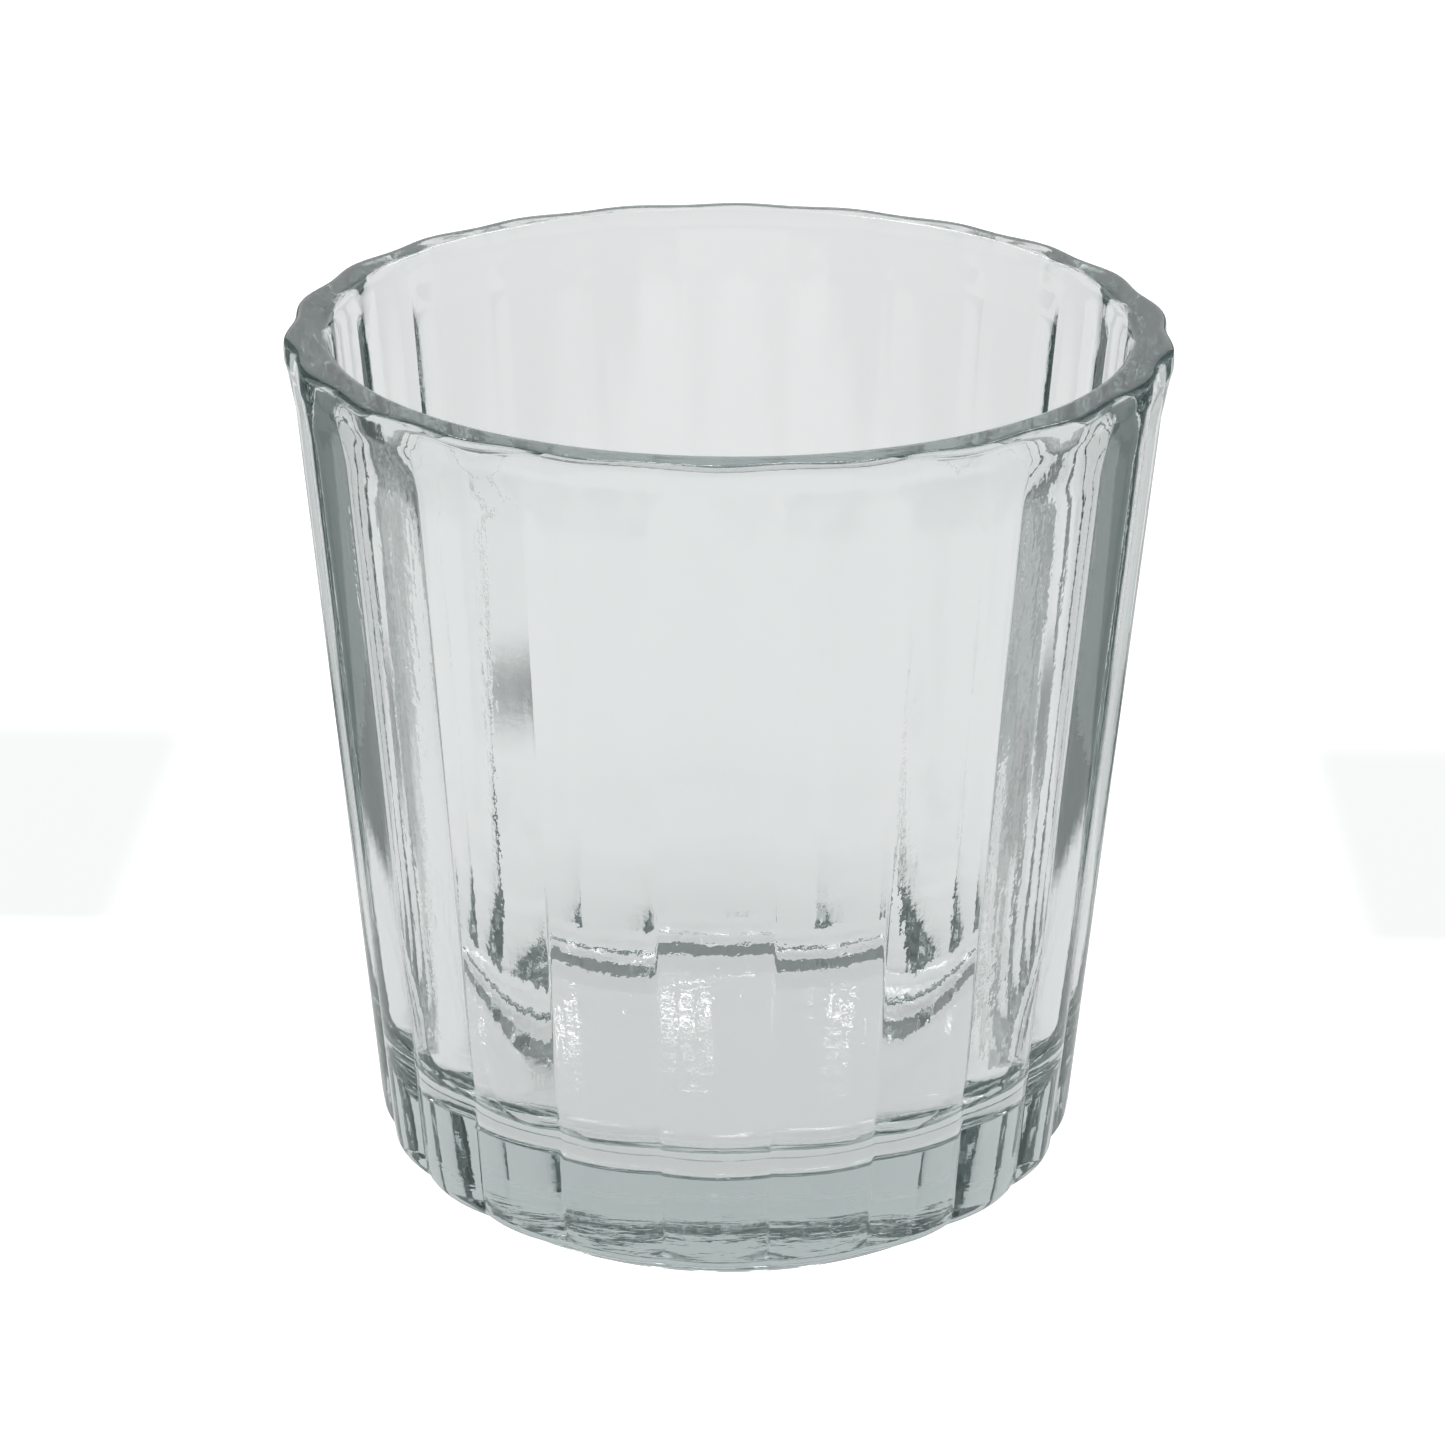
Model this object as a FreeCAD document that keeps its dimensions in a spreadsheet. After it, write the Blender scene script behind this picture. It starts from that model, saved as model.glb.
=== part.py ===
import FreeCAD, Part
import math
import os

import Sketcher

# Ribbed tealight holder: one piece of pressed clear glass.
# Frame: origin at the middle of the face it stands on, +Z up through the open mouth.
# One rib is centred on +Y and one on -Y, because the rib count is even.

DIMS = {
    # overall
    "rim_height": 72.0,
    "rib_count": 22,
    # ribbed outside wall from the bottom up, measured over the crests of the ribs
    "base_radius": 29.5,
    "collar_height": 66.0,
    "collar_radius": 34.5,
    "flare_height": 69.0,
    "flare_radius": 35.0,
    "bead_low": 70.0,
    "bead_high": 70.9,
    "bead_radius": 35.3,
    "lip_height": 71.65,
    "lip_radius": 35.1,
    "lip_top_radius": 34.7,
    "valley_depth": 0.65,
    # round core that the ribs grow from
    "core_low_radius": 28.5,
    "core_high_radius": 33.4,
    "rib_root": 27.0,
    # foot and heel, cut back from the ribbed wall
    "foot_flat_radius": 26.0,
    "foot_radius": 26.5,
    "foot_edge": 0.5,
    "foot_height": 1.7,
    "heel_radius": 29.4,
    "heel_low": 2.2,
    "heel_round": 2.0,
    "heel_top_radius": 30.1,
    "heel_high": 5.6,
    "relief_radius": 40.0,
    # inside
    "floor_height": 7.8,
    "floor_radius": 26.75,
    "floor_corner": 8.5,
    "mouth_radius": 31.7,
    "mouth_height": 71.7,
    "mouth_round": 1.0,
    "crown_radius": 33.8,
    "crown_height": 72.1,
    # shallow hollow inside the foot ring
    "hollow_radius": 24.0,
    "hollow_flat_radius": 21.5,
    "hollow_depth": 0.5,
    # how far a cutting profile runs past the glass
    "clearance": 3.0,
}

# Rings of rib sections from the bottom up: height cell, crest radius cell.
RINGS = [
    (None, "base_radius"),
    ("collar_height", "collar_radius"),
    ("flare_height", "flare_radius"),
    ("bead_low", "bead_radius"),
    ("bead_high", "bead_radius"),
    ("lip_height", "lip_radius"),
    ("rim_height", "lip_top_radius"),
]

# The Sketcher's numbers for the origin point, the two axes, and an edge's start and end.
ORIGIN = (-1, 1)
H_AXIS = -1
V_AXIS = -2
START = 1
END = 2


def make_sheet(doc):
    """The driving dimensions, in millimetres, with an alias to each."""
    sheet = doc.addObject("Spreadsheet::Sheet", "Dims")
    for row, (name, value) in enumerate(DIMS.items(), start=1):
        sheet.set(f"A{row}", name)
        sheet.set(f"B{row}", str(value))
        sheet.setAlias(f"B{row}", name)
    doc.recompute()


def cell_sum(text):
    """A sum of cells such as 'rim_height + clearance': its value and its expression."""
    value = 0.0
    sign = 1.0
    parts = []
    for word in text.split():
        if word in "+-":
            sign = 1.0 if word == "+" else -1.0
            parts.append(word)
        else:
            value += sign * DIMS[word]
            parts.append(f"Dims.{word}")
    return value, " ".join(parts)


def origin_feature(body, role):
    """One of the body's own origin planes or axes."""
    return next(item for item in body.Origin.OriginFeatures if item.Role == role)


def new_sketch(body, name, role):
    """An empty sketch on one of the body's own origin planes."""
    sketch = body.newObject("Sketcher::SketchObject", name)
    sketch.AttachmentSupport = (origin_feature(body, role), [""])
    sketch.MapMode = "FlatFace"
    return sketch


def bind(sketch, kind, where, value, expression):
    """A driving dimension that follows the sheet."""
    index = sketch.addConstraint(Sketcher.Constraint(kind, *where, value))
    sketch.setExpression(f"Constraints[{index}]", f"({expression}) * 1 mm")


def pin(sketch, point, across, up):
    """Dimension a point from the origin; a coordinate of None puts it on the axis."""
    for text, kind, axis in ((across, "DistanceX", V_AXIS), (up, "DistanceY", H_AXIS)):
        if text is None:
            sketch.addConstraint(Sketcher.Constraint("PointOnObject", *point, axis))
        else:
            value, expression = cell_sum(text)
            bind(sketch, kind, ORIGIN + point, value, expression)


def corner_arc(before, corner, after, radius):
    """The round of a corner: its arc, and which end of the arc meets the edge before it."""
    toward_before = (before - corner).normalize()
    toward_after = (after - corner).normalize()
    half_angle = toward_before.getAngle(toward_after) / 2
    bisector = (toward_before + toward_after).normalize()
    centre = corner + bisector * (radius / math.sin(half_angle))
    reach = radius / math.tan(half_angle)
    ends = [corner + toward_before * reach, corner + toward_after * reach]
    first_end = START
    if toward_before.cross(toward_after).z > 0:
        ends.reverse()
        first_end = END
    angles = [math.atan2(end.y - centre.y, end.x - centre.x) for end in ends]
    circle = Part.Circle(centre, FreeCAD.Vector(0, 0, 1), radius)
    return Part.ArcOfCircle(circle, *angles), first_end


def draw_profile(sketch, corners):
    """A closed outline through corners of (across, up, round), each a sum of cells or None."""
    points = []
    for across, up, _ in corners:
        x = cell_sum(across)[0] if across else 0.0
        y = cell_sum(up)[0] if up else 0.0
        points.append(FreeCAD.Vector(x, y, 0))
    count = len(points)
    edges = [
        sketch.addGeometry(Part.LineSegment(points[i], points[(i + 1) % count]))
        for i in range(count)
    ]
    for i, (across, up, rounding) in enumerate(corners):
        edge_in = edges[i - 1]
        edge_out = edges[i]
        if rounding is None:
            sketch.addConstraint(Sketcher.Constraint("Coincident", edge_in, END, edge_out, START))
            pin(sketch, (edge_out, START), across, up)
            continue
        radius, expression = cell_sum(rounding)
        shape, first_end = corner_arc(points[i - 1], points[i], points[(i + 1) % count], radius)
        last_end = END if first_end == START else START
        arc = sketch.addGeometry(shape)
        mark = sketch.addGeometry(Part.Point(points[i]), True)
        pin(sketch, (mark, START), across, up)
        sketch.addConstraint(Sketcher.Constraint("Tangent", edge_in, END, arc, first_end))
        sketch.addConstraint(Sketcher.Constraint("Tangent", arc, last_end, edge_out, START))
        sketch.addConstraint(Sketcher.Constraint("PointOnObject", mark, START, edge_in))
        sketch.addConstraint(Sketcher.Constraint("PointOnObject", mark, START, edge_out))
        bind(sketch, "Radius", (arc,), radius, expression)


def add_core(body):
    """The plain cone inside the ribs, revolved about the axis."""
    sketch = new_sketch(body, "CoreProfile", "XZ_Plane")
    draw_profile(sketch, [
        (None, None, None),
        ("core_low_radius", None, None),
        ("core_high_radius", "rim_height", None),
        (None, "rim_height", None),
    ])
    core = body.newObject("PartDesign::Revolution", "Core")
    core.Profile = sketch
    core.ReferenceAxis = (sketch, ["V_Axis"])
    core.Angle = 360


def add_rib_section(body, name, height, crest):
    """One sector of the outline: a convex crest between two valleys, down to the rib's root."""
    half = math.pi / DIMS["rib_count"]
    valley = DIMS[crest] - DIMS["valley_depth"]
    side = valley * math.sin(half)
    level = valley * math.cos(half)
    rise = DIMS[crest] - level
    radius = (side ** 2 + rise ** 2) / (2 * rise)
    root = DIMS["rib_root"]
    root_side = root * math.tan(half)

    sketch = new_sketch(body, name, "XY_Plane")
    if height:
        sketch.setExpression("AttachmentOffset.Base.z", f"Dims.{height} * 1 mm")
    centre = FreeCAD.Vector(0, DIMS[crest] - radius, 0)
    spread = math.asin(side / radius)
    circle = Part.Circle(centre, FreeCAD.Vector(0, 0, 1), radius)
    left_root = FreeCAD.Vector(-root_side, root, 0)
    left_valley = FreeCAD.Vector(-side, level, 0)
    right_valley = FreeCAD.Vector(side, level, 0)
    right_root = FreeCAD.Vector(root_side, root, 0)
    left = sketch.addGeometry(Part.LineSegment(left_root, left_valley))
    arc = sketch.addGeometry(
        Part.ArcOfCircle(circle, math.pi / 2 - spread, math.pi / 2 + spread)
    )
    right = sketch.addGeometry(Part.LineSegment(right_valley, right_root))
    bottom = sketch.addGeometry(Part.LineSegment(right_root, left_root))

    for first, first_end, second, second_end in (
        (left, END, arc, END),
        (arc, START, right, START),
        (right, END, bottom, START),
        (bottom, END, left, START),
    ):
        sketch.addConstraint(
            Sketcher.Constraint("Coincident", first, first_end, second, second_end)
        )
    sketch.addConstraint(Sketcher.Constraint("Symmetric", left, END, right, START, V_AXIS))
    sketch.addConstraint(Sketcher.Constraint("Horizontal", bottom))
    sketch.addConstraint(Sketcher.Constraint("PointOnObject", *ORIGIN, left))
    sketch.addConstraint(Sketcher.Constraint("PointOnObject", *ORIGIN, right))

    valley_text = f"(Dims.{crest} - Dims.valley_depth)"
    side_text = f"{valley_text} * sin(180 / Dims.rib_count)"
    level_text = f"{valley_text} * cos(180 / Dims.rib_count)"
    rise_text = f"(Dims.{crest} - {level_text})"
    radius_text = f"(({side_text})^2 + {rise_text}^2) / (2 * {rise_text})"
    bind(sketch, "DistanceX", (left, END, right, START), 2 * side, f"2 * {side_text}")
    bind(sketch, "DistanceY", ORIGIN + (right, START), level, level_text)
    bind(sketch, "DistanceY", ORIGIN + (right, END), root, "Dims.rib_root")
    bind(sketch, "Radius", (arc,), radius, radius_text)
    return sketch


def add_ribs(body):
    """One rib lofted through its rings, then repeated around the axis."""
    sections = [
        add_rib_section(body, f"RibRing{number}", height, crest)
        for number, (height, crest) in enumerate(RINGS)
    ]
    rib = body.newObject("PartDesign::AdditiveLoft", "Rib")
    rib.Profile = sections[0]
    rib.Sections = sections[1:]
    rib.Ruled = True
    body.Document.recompute()
    ribs = body.newObject("PartDesign::PolarPattern", "Ribs")
    ribs.Originals = [rib]
    ribs.Axis = (origin_feature(body, "Z_Axis"), [""])
    ribs.Angle = 360
    ribs.setExpression("Occurrences", "Dims.rib_count")
    body.Tip = ribs
    body.Document.recompute()


def add_groove(body, name, corners):
    """A cut all round the axis; it has to take glass away."""
    before = body.Shape.Volume
    sketch = new_sketch(body, f"{name}Profile", "XZ_Plane")
    draw_profile(sketch, corners)
    groove = body.newObject("PartDesign::Groove", name)
    groove.Profile = sketch
    groove.ReferenceAxis = (sketch, ["V_Axis"])
    groove.Angle = 360
    body.Tip = groove
    body.Document.recompute()
    removed = before - body.Shape.Volume
    print(f"{name}: {removed:.0f} mm3 removed")
    if removed < 1:
        raise RuntimeError(f"{name} cuts nothing")


def build_cup(doc):
    """The whole holder: ribbed body, small round foot, tapered inside and a hollow underneath."""
    body = doc.addObject("PartDesign::Body", "GlassCup")
    body.Label = "glass_cup"
    body.Placement = FreeCAD.Placement()
    add_core(body)
    add_ribs(body)
    add_groove(body, "Heel", [
        ("foot_flat_radius", "- clearance", None),
        ("foot_flat_radius", None, None),
        ("foot_radius", "foot_edge", None),
        ("foot_radius", "foot_height", None),
        ("heel_radius", "heel_low", "heel_round"),
        ("heel_top_radius", "heel_high", None),
        ("relief_radius", "heel_high", None),
        ("relief_radius", "- clearance", None),
    ])
    add_groove(body, "Inside", [
        (None, "floor_height", None),
        ("floor_radius", "floor_height", "floor_corner"),
        ("mouth_radius", "mouth_height", "mouth_round"),
        ("crown_radius", "crown_height", None),
        ("crown_radius", "rim_height + clearance", None),
        (None, "rim_height + clearance", None),
    ])
    add_groove(body, "Hollow", [
        (None, "- clearance", None),
        ("hollow_radius", "- clearance", None),
        ("hollow_radius", None, None),
        ("hollow_flat_radius", "hollow_depth", None),
        (None, "hollow_depth", None),
    ])
    return body


def check(doc, bodies):
    """Stop on any failed feature, loose sketch or broken solid."""
    for item in doc.Objects:
        if "Invalid" in item.State or "Error" in item.State:
            raise RuntimeError(f"{item.Label}: {item.State}")
        if item.isDerivedFrom("Sketcher::SketchObject") and item.solve() != 0:
            raise RuntimeError(f"{item.Label} doesn't solve")
    for body in bodies:
        shape = body.Shape
        if shape.isNull() or not shape.isValid() or len(shape.Solids) != 1:
            raise RuntimeError(f"{body.Label} isn't one valid solid")


def main():
    doc = FreeCAD.newDocument("TealightHolder")
    make_sheet(doc)
    bodies = [build_cup(doc)]
    doc.recompute()
    check(doc, bodies)
    os.makedirs("parts", exist_ok=True)
    for body in bodies:
        box = body.Shape.BoundBox
        size = f"{box.XLength:.2f} x {box.YLength:.2f} x {box.ZLength:.2f}"
        print(f"{body.Label}: {body.Shape.Volume:.0f} mm3, {size}")
        body.Shape.exportStep(f"parts/{body.Label}.step")


main()
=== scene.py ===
import math

import bpy
from mathutils import Matrix, Vector


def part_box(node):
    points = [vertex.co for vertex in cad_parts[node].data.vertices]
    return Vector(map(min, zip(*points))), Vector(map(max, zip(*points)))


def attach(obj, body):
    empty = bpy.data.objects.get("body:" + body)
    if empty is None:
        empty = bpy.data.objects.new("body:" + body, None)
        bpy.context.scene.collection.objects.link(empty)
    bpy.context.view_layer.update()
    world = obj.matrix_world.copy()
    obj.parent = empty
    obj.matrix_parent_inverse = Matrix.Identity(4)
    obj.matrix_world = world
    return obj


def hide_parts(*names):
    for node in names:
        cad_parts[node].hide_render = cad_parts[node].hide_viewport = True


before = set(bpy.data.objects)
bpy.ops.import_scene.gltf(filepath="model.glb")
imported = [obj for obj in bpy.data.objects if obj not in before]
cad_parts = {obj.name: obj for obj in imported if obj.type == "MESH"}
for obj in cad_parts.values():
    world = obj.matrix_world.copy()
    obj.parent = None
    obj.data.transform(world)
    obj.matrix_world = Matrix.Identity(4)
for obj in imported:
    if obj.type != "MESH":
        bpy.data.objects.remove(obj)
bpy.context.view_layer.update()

CUP_LOW, CUP_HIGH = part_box("glass_cup")
MM = 0.001

# ---------------------------------------------------------------- sizes, mm
# Heights are measured from the face the cup stands on, radii from its axis.
# A point of the section is (crest radius, height, how much of the rib's drop it takes).
RIM_HEIGHT = (CUP_HIGH.z - CUP_LOW.z) / MM
TOP_HEIGHT = RIM_HEIGHT - 0.01
MIDDLE_RADIUS = 0.6
SHORTEST_STEP = 0.02

# underside: a shallow hollow inside the flat ring that the cup stands on
HOLLOW_FLAT = 21.5
HOLLOW_RADIUS = 24.0
HOLLOW_DEPTH = 0.5
HOLLOW_ROUND = 1.5
HOLLOW_ROOF_END = 20.0
RING_OUTER = 26.0
RING_START = 24.7
RING_END = 25.4

# round foot, the step out from it, and the heel of the ribbed wall
FOOT_CORNER = (26.35, 0.0)
FOOT_ROUND = 0.6
STEP_CORNER = (26.5, 1.6)
STEP_ROUND = 0.35
STEP_START = (27.1, 1.72, 0.1)
STEP_END = (28.0, 1.86, 0.3)
HEEL_CORNER = (29.45, 2.1)
HEEL_ROUND = 1.5
HEEL_RIB_SHARE = 0.4

# ribbed wall, up its crests
WALL_LOW = (29.72, 4.4, 1)
COLLAR = (34.5, 66.0, 1)
FLARE = (35.0, 69.0, 1)
BEAD_LOW = (35.25, 70.0, 1)
BEAD_HIGH = (35.28, 70.9, 1)

# rim
RIM_CORNER = (35.2, 71.98)
RIM_ROUND = 0.75
CROWN_OUTER = 34.2
CROWN_INNER = 33.0
CROWN_STEPS = 6
MOUTH_CORNER_RADIUS = 31.72
MOUTH_ROUND = 0.9

# inside
FLOOR_HEIGHT = 7.8
FLOOR_RADIUS = 26.75
FLOOR_CORNER = 8.5
FLOOR_FLAT = 18.0
MOUTH_RADIUS = 31.7
MOUTH_HEIGHT = 71.7
INSIDE_HIGH = (31.62, 71.0, 0)
INSIDE_LOW = (27.61, 18.5, 0)

# ribs: sharp valleys up the wall that fade to soft lobes at the rim
RIBS = 22
VALLEY_DEPTH = 0.65
VALLEY_ROUND = 0.16
RIB_CREST_RADIUS = 34.0
RIM_LOBE = 0.5
LOBE_START = 66.5
LOBE_RISE = 4.0
SLOPE_STEP = 0.001
# Columns across one rib, as shares of its half width from the crest to a valley.
RIB_COLUMNS = [0.0, 0.14, 0.28, 0.42, 0.56, 0.69, 0.80, 0.89, 0.95, 0.98]

# -------------------------------------------------------------------- glass
GLASS_IOR = 1.52
GLASS_TINT = (0.48, 0.5825, 0.573, 1)
TINT_DENSITY = 20.0
GLASS_RELIEF = 0.018
FLOW_SCALE = 420.0
FLOW_STRETCH = 0.1
GRAIN_SCALE = 1400.0
GRAIN_SHARE = 0.22
SEED_SCALE = 110.0
SEED_SIZE = 0.035
SEED_DEPTH = -2.5

# ----------------------------------------------------- studio, metres and levels
PAPER_GLOW = 0.52
SURROUND_GLOW = 0.8
WHITE = (0.8, 0.8, 0.8)
DARK = (0.06, 0.07, 0.07)
ROOM_TONE = (0.15, 0.178, 0.174)
# Where the paper gives way to the dark table: a distance, and half the width of its soft edge.
PAPER_NARROW = (0.057, 0.006)
NOTCH_FRONT = (0.033, 0.004)
NOTCH_BACK = (0.088, 0.012)
PAPER_WIDE = (0.19, 0.03)
TABLE_HALF = 3.0
TABLE_LEVEL = -0.00002
CARD_PLACE = 0.085
CARD_FRONT = 0.03
CARD_BACK = 0.085
CARD_HEIGHT = 0.15
BACKDROP_LEVEL = 0.8
BACKDROP_EDGE = (-0.1, 0.5)
BACKDROP_TOP = (0.66, 0.82)

# Two rows of windows behind the cup: places across, then how far behind and how high.
WINDOW_ACROSS = (-0.24, -0.08, 0.08, 0.24)
WINDOW_PLACE = (0.72, 0.7)
WINDOW_SIZE = (0.05, 0.13)
WINDOW_POWER = 0.15
LOW_WINDOW_ACROSS = (-0.045, 0.0, 0.038)
LOW_WINDOW_PLACE = (1.13, 0.6)
LOW_WINDOW_SIZE = (0.028, 0.009)
LOW_WINDOW_POWER = 0.006

# ------------------------------------------------------------------- camera
CAMERA_LENS = 91.1
CAMERA_SENSOR = 36.0
CAMERA_SHIFT = -0.0034
CAMERA_YAW = math.radians(1.456)
CAMERA_TILT = math.radians(90 - 23.62)
CAMERA_ROLL = math.radians(0.278)
CAMERA_DISTANCE = 0.27886
CAMERA_HEIGHT = 0.15906
CAMERA_CLIP = (0.01, 20.0)
# A ray caught inside the rim meets the glass many times before it leaves.
GLASS_BOUNCES = 64


# -------------------------------------------------------------------- section
def mix(a, b, t):
    return a + (b - a) * t


def smooth(t):
    t = min(max(t, 0.0), 1.0)
    return t * t * (3 - 2 * t)


def rib_drop(crest, share):
    """How far the ribbed outline lies inside its crest radius, at a share of the rib's half width."""
    half = math.pi / RIBS
    valley = crest - VALLEY_DEPTH
    side = valley * math.sin(half)
    rise = crest - valley * math.cos(half)
    arc = (side * side + rise * rise) / (2 * rise)
    centre = crest - arc

    def drop(turn):
        return crest - (
            centre * math.cos(turn) + math.sqrt(arc ** 2 - (centre * math.sin(turn)) ** 2)
        )

    turn = abs(share) * half
    width = VALLEY_ROUND / crest
    edge = half - width
    if turn <= edge:
        return drop(turn)
    slope = (drop(edge) - drop(edge - SLOPE_STEP)) / SLOPE_STEP
    near = half - turn
    return drop(edge) + slope * (width ** 2 - near ** 2) / (2 * width)


def line(start, end, steps):
    """Section points from start up to, but without, end."""
    return [
        tuple(mix(a, b, i / steps) for a, b in zip(start, end))
        for i in range(steps)
    ]


def rounded(before, corner, after, radius, steps, share=0):
    """The round of a corner, as steps + 1 section points from the edge before to the edge after."""
    p, c, n = (Vector(v[:2]) for v in (before, corner, after))
    to_before = (p - c).normalized()
    to_after = (n - c).normalized()
    half_angle = to_before.angle(to_after) / 2
    centre = c + (to_before + to_after).normalized() * (radius / math.sin(half_angle))
    reach = radius / math.tan(half_angle)
    first = c + to_before * reach - centre
    last = c + to_after * reach - centre
    turn = first.angle_signed(last)
    points = []
    for i in range(steps + 1):
        spoke = first.copy()
        spoke.rotate(Matrix.Rotation(-turn * (i / steps), 2))
        points.append((centre.x + spoke.x, centre.y + spoke.y, share))
    return points


def underside():
    """The hollow and the flat ring, from the middle out."""
    middle = (MIDDLE_RADIUS, HOLLOW_DEPTH, 0)
    roof = (HOLLOW_FLAT, HOLLOW_DEPTH)
    ring = (HOLLOW_RADIUS, 0.0)
    points = line(middle, (HOLLOW_ROOF_END, HOLLOW_DEPTH, 0), steps=22)
    points += rounded(middle, roof, ring, HOLLOW_ROUND, steps=8)
    points += rounded(roof, ring, (RING_OUTER, 0.0), HOLLOW_ROUND, steps=8)
    points += line((RING_START, 0.0, 0), (RING_END, 0.0, 0), steps=2)
    return points


def foot_and_heel():
    """Up the foot, out along the step and round the heel, where the ribs begin."""
    points = rounded((24.0, 0.0), FOOT_CORNER, (26.5, 1.7), FOOT_ROUND, steps=6)
    points += rounded((26.4, 0.5), STEP_CORNER, (28.6, 1.95), STEP_ROUND, steps=4)
    points += line(STEP_START, STEP_END, steps=4)
    heel = rounded((27.0, 1.7), HEEL_CORNER, (29.8, 5.6), HEEL_ROUND, steps=10)
    for i, (radius, height, _) in enumerate(heel):
        points.append((radius, height, mix(HEEL_RIB_SHARE, 1.0, i / (len(heel) - 1))))
    return points


def wall_and_rim():
    """Up the crests, over the rim, and round its inner edge, where the lobes have died out."""
    points = line(WALL_LOW, COLLAR, steps=60)
    points += line(COLLAR, FLARE, steps=6)
    points += line(FLARE, BEAD_LOW, steps=3)
    points += line(BEAD_LOW, BEAD_HIGH, steps=4)
    points += rounded((35.27, 70.6), RIM_CORNER, (33.4, RIM_CORNER[1]), RIM_ROUND, steps=12, share=1)
    for i in range(CROWN_STEPS + 1):
        t = i / CROWN_STEPS
        points.append((mix(CROWN_OUTER, CROWN_INNER, t), TOP_HEIGHT, 1 - smooth(t)))
    mouth = (MOUTH_CORNER_RADIUS, TOP_HEIGHT)
    floor = (FLOOR_RADIUS, FLOOR_HEIGHT)
    points += rounded((34.0, TOP_HEIGHT), mouth, floor, MOUTH_ROUND, steps=12)
    return points


def inside():
    """Down the plain inner wall, round the wide floor corner, and in to the middle."""
    middle = (MIDDLE_RADIUS, FLOOR_HEIGHT, 0)
    mouth = (MOUTH_RADIUS, MOUTH_HEIGHT)
    floor = (FLOOR_RADIUS, FLOOR_HEIGHT)
    points = line(INSIDE_HIGH, INSIDE_LOW, steps=56)
    points += rounded(mouth, floor, (0.0, FLOOR_HEIGHT), FLOOR_CORNER, steps=28)
    points += line((FLOOR_FLAT, FLOOR_HEIGHT, 0), middle, steps=22)
    points.append(middle)
    return points


def section():
    """The whole section, without points that nearly repeat the one before."""
    kept = []
    for point in underside() + foot_and_heel() + wall_and_rim() + inside():
        if not kept or (Vector(point[:2]) - Vector(kept[-1][:2])).length > SHORTEST_STEP:
            kept.append(point)
    return kept


def build_cup():
    """The section turned about the axis, with the ribs' drop taken off it, and closed in the middle."""
    rows = section()
    shares = [-share for share in reversed(RIB_COLUMNS[1:])] + RIB_COLUMNS
    shares.append(1.0)
    half = math.pi / RIBS
    columns = []
    for rib in range(RIBS):
        middle = -math.pi / 2 + 2 * half * rib
        columns += [(middle + share * half, share) for share in shares]
    sharp = {share: rib_drop(RIB_CREST_RADIUS, share) for share in shares}
    soft = {share: RIM_LOBE * (1 - math.cos(math.pi * share)) / 2 for share in shares}

    verts = []
    for radius, height, rib_share in rows:
        polish = smooth((height - LOBE_START) / LOBE_RISE)
        for angle, share in columns:
            r = radius - mix(sharp[share], soft[share], polish) * rib_share
            verts.append((r * math.cos(angle) * MM, r * math.sin(angle) * MM, height * MM))
    count = len(columns)
    faces = []
    for i in range(len(rows) - 1):
        low_row = i * count
        high_row = low_row + count
        for j in range(count):
            k = (j + 1) % count
            faces.append((low_row + j, low_row + k, high_row + k, high_row + j))
    low = len(verts)
    verts.append((0, 0, rows[0][1] * MM))
    high = len(verts)
    verts.append((0, 0, rows[-1][1] * MM))
    last_row = (len(rows) - 1) * count
    for j in range(count):
        k = (j + 1) % count
        faces.append((low, k, j))
        faces.append((high, last_row + j, last_row + k))
    mesh = bpy.data.meshes.new("cup_glass")
    mesh.from_pydata(verts, [], faces)
    mesh.validate()
    mesh.shade_smooth()
    cup = bpy.data.objects.new("cup_glass", mesh)
    bpy.context.scene.collection.objects.link(cup)
    return cup


# ------------------------------------------------------------------ materials
def add_node(tree, kind, sockets=None, **settings):
    """A node whose sockets are set to values, or linked where the value is another node's output."""
    node = tree.nodes.new(kind)
    for name, value in settings.items():
        setattr(node, name, value)
    for socket, value in (sockets or {}).items():
        if isinstance(value, bpy.types.NodeSocket):
            tree.links.new(value, node.inputs[socket])
        else:
            node.inputs[socket].default_value = value
    return node


def soft_step(tree, value, low, high, first=0.0, last=1.0):
    """A smooth change from first to last as the value goes from low to high."""
    step = add_node(tree, "ShaderNodeMapRange", {
        "From Min": low, "From Max": high, "To Min": first, "To Max": last, "Value": value,
    }, interpolation_type="SMOOTHSTEP")
    return step.outputs["Result"]


def combine(tree, operation, first, second):
    """Two values joined by one operation."""
    return add_node(tree, "ShaderNodeMath", {0: first, 1: second}, operation=operation).outputs[0]


def two_tones(tree, share, first, last):
    """A colour that runs from first to last."""
    ramp = add_node(tree, "ShaderNodeValToRGB", {"Fac": share})
    stops = ramp.color_ramp.elements
    stops[0].color = (*first, 1)
    stops[1].color = (*last, 1)
    return ramp.outputs["Color"]


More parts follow.
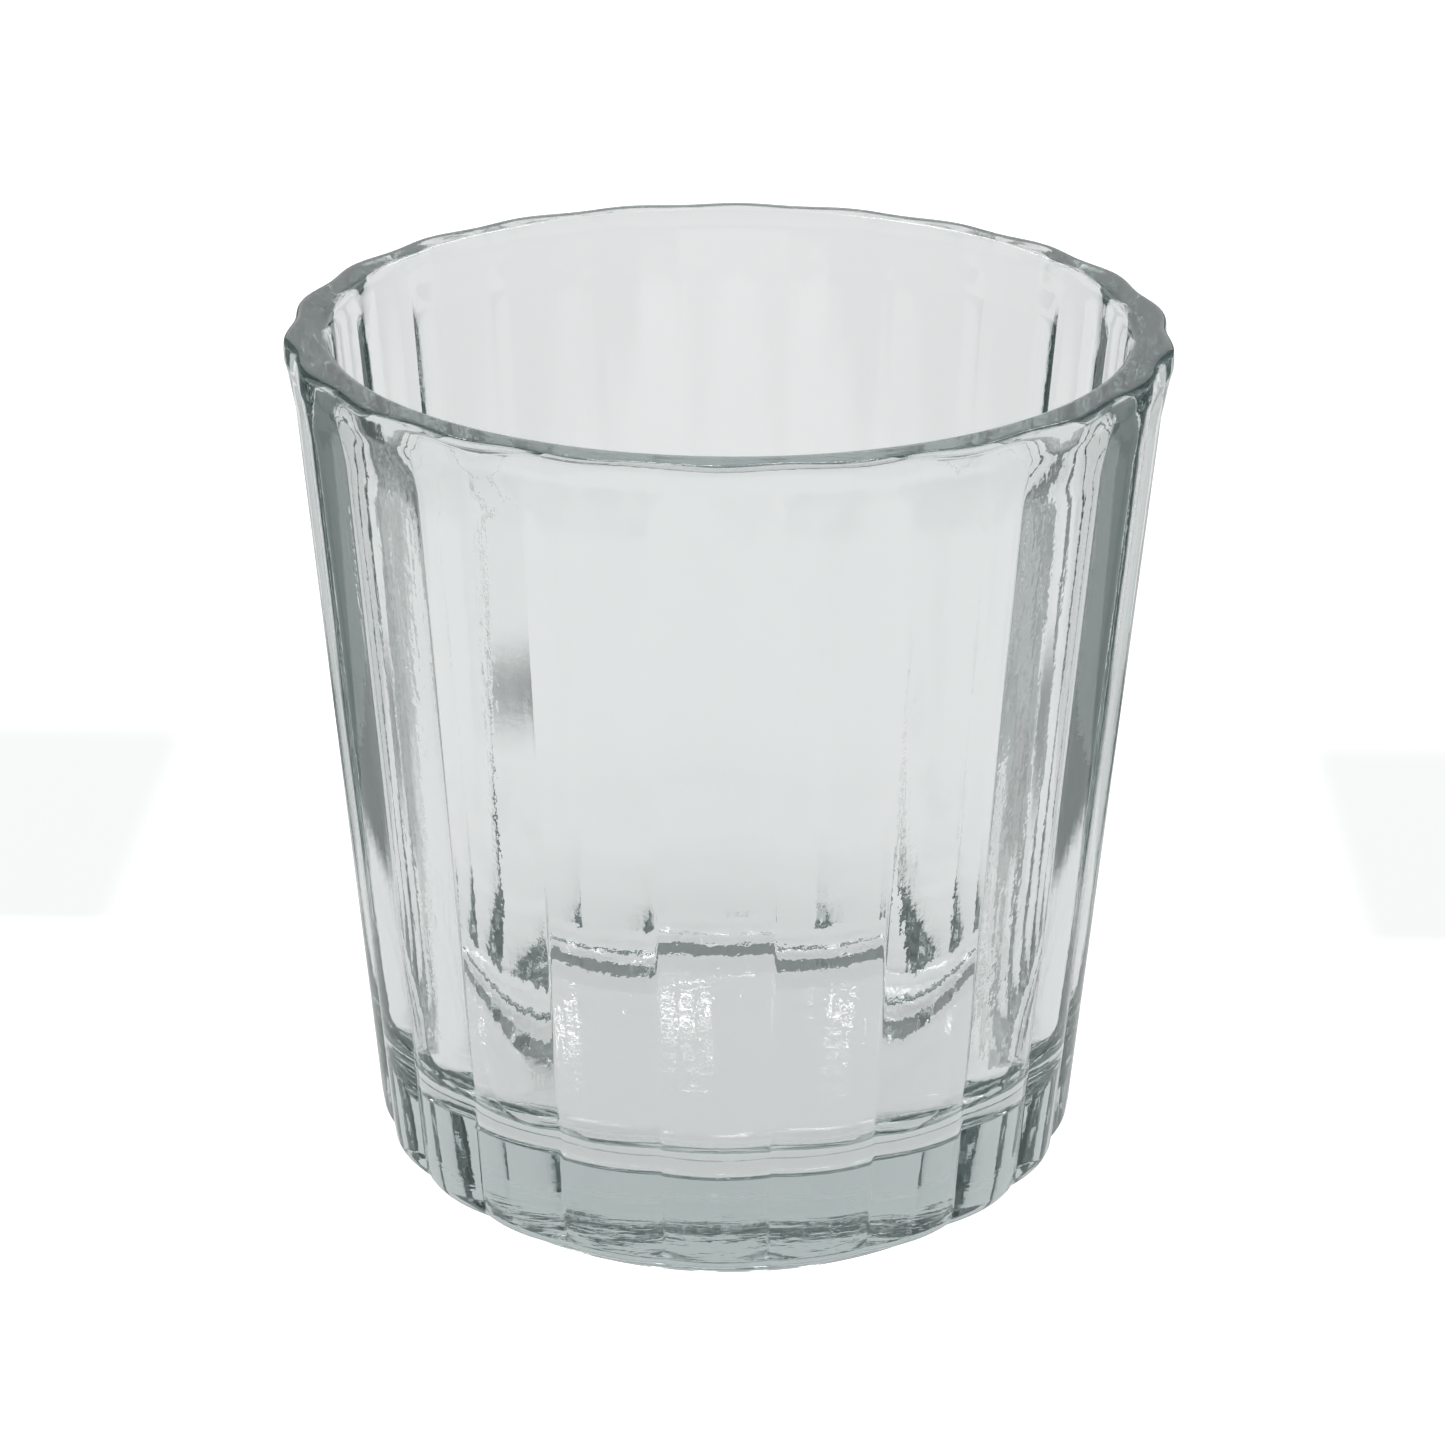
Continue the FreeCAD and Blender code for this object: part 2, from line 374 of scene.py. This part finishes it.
def glass_relief(tree):
    """Long upright flow lines left by pressing, a fine grain, and a few tiny seeds."""
    place = add_node(tree, "ShaderNodeTexCoord").outputs["Object"]
    stretched = add_node(tree, "ShaderNodeMapping", {"Scale": (1, 1, FLOW_STRETCH), "Vector": place})
    flow = add_node(tree, "ShaderNodeTexNoise", {
        "Scale": FLOW_SCALE, "Detail": 3.0, "Vector": stretched.outputs["Vector"],
    })
    grain = add_node(tree, "ShaderNodeTexNoise", {
        "Scale": GRAIN_SCALE, "Detail": 2.0, "Vector": place,
    })
    seeds = add_node(tree, "ShaderNodeTexVoronoi", {"Scale": SEED_SCALE, "Vector": place})
    pits = add_node(tree, "ShaderNodeMapRange", {
        "From Max": SEED_SIZE, "To Min": SEED_DEPTH, "To Max": 0.0,
        "Value": seeds.outputs["Distance"],
    })
    fine = add_node(tree, "ShaderNodeMath", {
        0: grain.outputs["Fac"], 1: GRAIN_SHARE, 2: flow.outputs["Fac"],
    }, operation="MULTIPLY_ADD")
    relief = combine(tree, "ADD", fine.outputs["Value"], pits.outputs["Result"])
    bump = add_node(tree, "ShaderNodeBump", {"Distance": GLASS_RELIEF * MM, "Height": relief})
    return bump.outputs["Normal"]


def new_material(name):
    """A material with the standard shader: the material and that shader."""
    mat = bpy.data.materials.new(name)
    mat.use_nodes = True
    return mat, mat.node_tree.nodes["Principled BSDF"]


def glass_material():
    """Clear glass whose faint grey-green tint deepens with the thickness that light passes through."""
    mat, shader = new_material("clear_pressed_glass")
    tree = mat.node_tree
    shader.inputs["Base Color"].default_value = (1, 1, 1, 1)
    shader.inputs["Transmission Weight"].default_value = 1.0
    shader.inputs["IOR"].default_value = GLASS_IOR
    shader.inputs["Roughness"].default_value = 0.0
    tree.links.new(glass_relief(tree), shader.inputs["Normal"])
    volume = add_node(tree, "ShaderNodeVolumeAbsorption", {
        "Color": GLASS_TINT, "Density": TINT_DENSITY,
    })
    tree.links.new(volume.outputs["Volume"], tree.nodes["Material Output"].inputs["Volume"])
    return mat


def matt_material(name, tone, glow, glow_tone=(1, 1, 1)):
    """A matt surface that also glows a little, as paper does on a light table."""
    mat, shader = new_material(name)
    shader.inputs["Base Color"].default_value = (*tone, 1)
    shader.inputs["Roughness"].default_value = 0.9
    shader.inputs["Specular IOR Level"].default_value = 0.0
    shader.inputs["Emission Color"].default_value = (*glow_tone, 1)
    shader.inputs["Emission Strength"].default_value = glow
    return mat


def table_material():
    """White paper under and around the cup, notched on both sides, with soft edges to a dark table."""
    mat = matt_material("paper_on_table", WHITE, PAPER_GLOW)
    tree = mat.node_tree
    place = add_node(tree, "ShaderNodeTexCoord").outputs["Object"]
    size = add_node(tree, "ShaderNodeVectorMath", {0: place}, operation="ABSOLUTE")
    across = add_node(tree, "ShaderNodeSeparateXYZ", {0: size.outputs["Vector"]}).outputs["X"]
    along = add_node(tree, "ShaderNodeSeparateXYZ", {0: place}).outputs["Y"]

    def past(value, edge, half_width):
        return soft_step(tree, value, edge - half_width, edge + half_width)

    notch = combine(tree, "SUBTRACT", past(along, *NOTCH_FRONT), past(along, *NOTCH_BACK))
    beside = combine(tree, "MULTIPLY", past(across, *PAPER_NARROW), notch)
    bare = combine(tree, "MAXIMUM", beside, past(across, *PAPER_WIDE))
    shader = tree.nodes["Principled BSDF"]
    glow_tone = two_tones(tree, bare, (1, 1, 1), ROOM_TONE)
    tree.links.new(glow_tone, shader.inputs["Emission Color"])
    tree.links.new(two_tones(tree, bare, WHITE, DARK), shader.inputs["Base Color"])
    return mat


# --------------------------------------------------------------------- studio
def add_panel(name, corners, material, to_camera):
    """A flat panel of the studio, seen either by the camera or by the glass."""
    mesh = bpy.data.meshes.new(name)
    mesh.from_pydata(corners, [], [(0, 1, 2, 3)])
    mesh.materials.append(material)
    panel = bpy.data.objects.new(name, mesh)
    bpy.context.scene.collection.objects.link(panel)
    panel.visible_camera = to_camera
    panel.visible_glossy = not to_camera
    panel.visible_transmission = not to_camera
    panel.visible_diffuse = not to_camera
    panel.visible_shadow = False


def add_studio():
    """The table and two dark cards that the glass sees, and the white surround behind it all."""
    half = TABLE_HALF
    level = TABLE_LEVEL
    table = [(-half, -half, level), (half, -half, level), (half, half, level), (-half, half, level)]
    add_panel("table", table, table_material(), False)
    surround = [(x, y, 2 * level) for x, y, _ in table]
    white = matt_material("white_surround", WHITE, SURROUND_GLOW)
    add_panel("surround", surround, white, True)
    for number in range(4):
        (x, y, _), (next_x, next_y, _) = table[number], table[(number + 1) % 4]
        wall = [(x, y, level), (next_x, next_y, level), (next_x, next_y, half), (x, y, half)]
        add_panel(f"surround_wall_{number}", wall, white, True)
    card = matt_material("dark_card", DARK, 1.0, ROOM_TONE)
    for name, side in (("card_left", -1), ("card_right", 1)):
        x = side * CARD_PLACE
        corners = [
            (x, CARD_FRONT, 0), (x, CARD_BACK, 0),
            (x, CARD_BACK, CARD_HEIGHT), (x, CARD_FRONT, CARD_HEIGHT),
        ]
        add_panel(name, corners, card, False)


def add_world():
    """A pale backdrop low down behind the cup, and a dim room everywhere else."""
    world = bpy.data.worlds.new("studio")
    bpy.context.scene.world = world
    world.use_nodes = True
    tree = world.node_tree
    place = add_node(tree, "ShaderNodeTexCoord").outputs["Generated"]
    split = add_node(tree, "ShaderNodeSeparateXYZ", {0: place})
    behind = soft_step(tree, split.outputs["Y"], *BACKDROP_EDGE)
    below = soft_step(tree, split.outputs["Z"], *BACKDROP_TOP, first=1.0, last=0.0)
    backdrop = combine(tree, "MULTIPLY", behind, below)
    tone = two_tones(tree, backdrop, ROOM_TONE, (BACKDROP_LEVEL,) * 3)
    tree.links.new(tone, tree.nodes["Background"].inputs["Color"])


def add_window(name, across, place, size, power):
    """A soft window behind the cup, turned towards the table in front of it."""
    data = bpy.data.lights.new(name, "AREA")
    data.shape = "RECTANGLE"
    data.size, data.size_y = size
    data.energy = power
    light = bpy.data.objects.new(name, data)
    bpy.context.scene.collection.objects.link(light)
    light.location = (across, *place)
    light.rotation_mode = "QUATERNION"
    aim = Vector((across, 0, 0)) - Vector((across, *place))
    light.rotation_quaternion = aim.to_track_quat("-Z", "Y")


def add_camera():
    data = bpy.data.cameras.new("camera")
    data.sensor_width = CAMERA_SENSOR
    data.lens = CAMERA_LENS
    data.shift_x = CAMERA_SHIFT
    data.clip_start, data.clip_end = CAMERA_CLIP
    camera = bpy.data.objects.new("camera", data)
    bpy.context.scene.collection.objects.link(camera)
    turn = (
        Matrix.Rotation(CAMERA_YAW, 4, "Z")
        @ Matrix.Rotation(CAMERA_TILT, 4, "X")
        @ Matrix.Rotation(CAMERA_ROLL, 4, "Z")
    )
    place = Matrix.Translation((
        CAMERA_DISTANCE * math.sin(CAMERA_YAW),
        -CAMERA_DISTANCE * math.cos(CAMERA_YAW),
        CAMERA_HEIGHT,
    ))
    camera.matrix_world = place @ turn
    bpy.context.scene.camera = camera


def set_scene():
    scene = bpy.context.scene
    scene.view_settings.view_transform = "Standard"
    scene.view_settings.look = "None"
    scene.cycles.max_bounces = GLASS_BOUNCES
    scene.cycles.transmission_bounces = GLASS_BOUNCES
    scene.cycles.glossy_bounces = GLASS_BOUNCES
    scene.cycles.diffuse_bounces = 3
    scene.cycles.transparent_max_bounces = 8


cup = build_cup()
cup.data.materials.append(glass_material())
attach(cup, "root")
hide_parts("glass_cup")
add_studio()
add_world()
for number, across in enumerate(WINDOW_ACROSS):
    add_window(f"window_{number}", across, WINDOW_PLACE, WINDOW_SIZE, WINDOW_POWER)
for number, across in enumerate(LOW_WINDOW_ACROSS):
    add_window(f"low_window_{number}", across, LOW_WINDOW_PLACE, LOW_WINDOW_SIZE, LOW_WINDOW_POWER)
add_camera()
set_scene()
